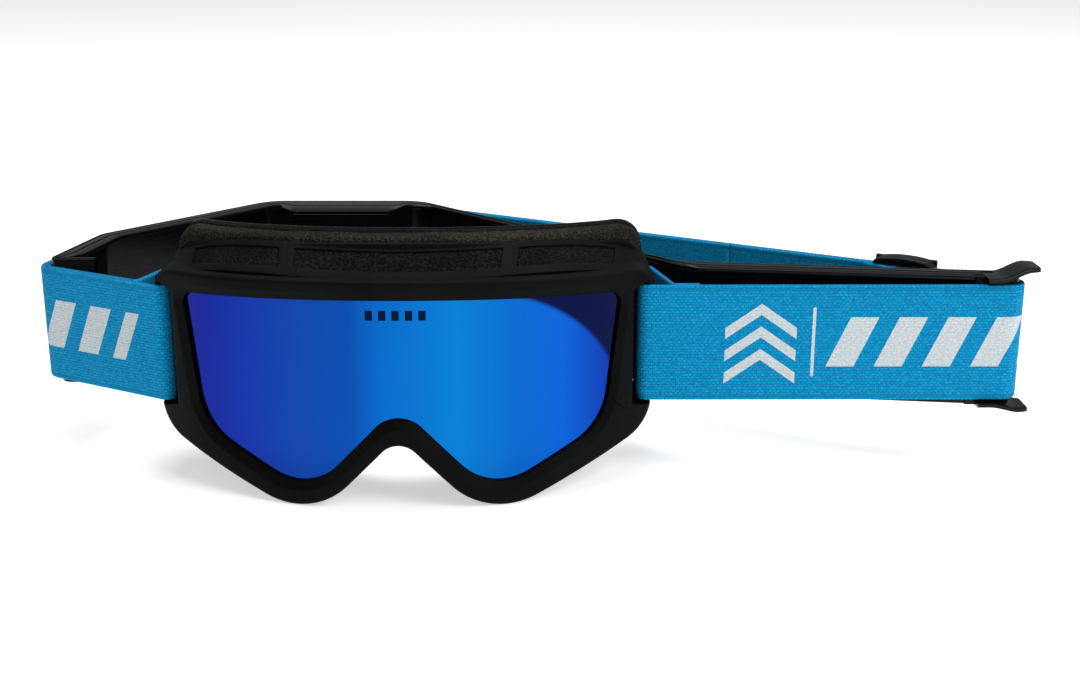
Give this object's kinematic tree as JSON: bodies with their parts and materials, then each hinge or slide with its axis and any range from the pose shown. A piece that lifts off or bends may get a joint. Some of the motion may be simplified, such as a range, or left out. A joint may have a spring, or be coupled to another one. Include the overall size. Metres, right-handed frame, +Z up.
{
  "type": "sports protective goggles",
  "caption": "Wrap-around sports goggles with a mirrored double lens, vented soft frame, face foam and an elastic strap held open by a former.",
  "frame": {"origin": "middle of the whole footprint, on the surface the goggles stand on", "axes": "+X across the frame towards the long strap run, +Y from the lens towards the wearer, +Z up"},
  "size_m": [0.356, 0.1745, 0.0903],
  "materials": {
    "moulded_frame": "satin black elastomer",
    "mirror_lens": "blue mirror coating on polycarbonate",
    "clear_lens": "clear, anti-fog",
    "gasket_foam": "fine black closed-cell foam",
    "vent_foam": "open-cell black foam",
    "face_foam": "brown-grey foam",
    "fleece": "brushed black fleece",
    "former_plastic": "glossy black plastic",
    "elastic_webbing": "cyan woven elastic",
    "slider_plastic": "black moulded plastic",
    "thread": "dark blue thread"
  },
  "bodies": {
    "goggles": {"frame": "moulded_frame", "outer_lens": "mirror_lens", "inner_lens": "clear_lens", "lens_gasket": "gasket_foam", "vent_foam_top_centre": "vent_foam", "vent_foam_top_right": "vent_foam", "vent_foam_top_left": "vent_foam", "vent_foam_low_right": "vent_foam", "vent_foam_low_left": "vent_foam", "face_foam_base": "face_foam", "face_foam_comfort": "face_foam", "face_fleece": "fleece", "strap_former": "former_plastic", "strap": "elastic_webbing", "stitching_hem": "thread"},
    "adjuster": {"slider": "slider_plastic", "strap_adjuster_end": "elastic_webbing", "stitching_adjuster": "thread"}
  },
  "joints": [
    {"name": "strap_adjust", "type": "slide", "parent": "goggles", "child": "adjuster", "axis": [-0.864, 0.5035, 0], "range_m": [-0.012, 0.012]}
  ]
}
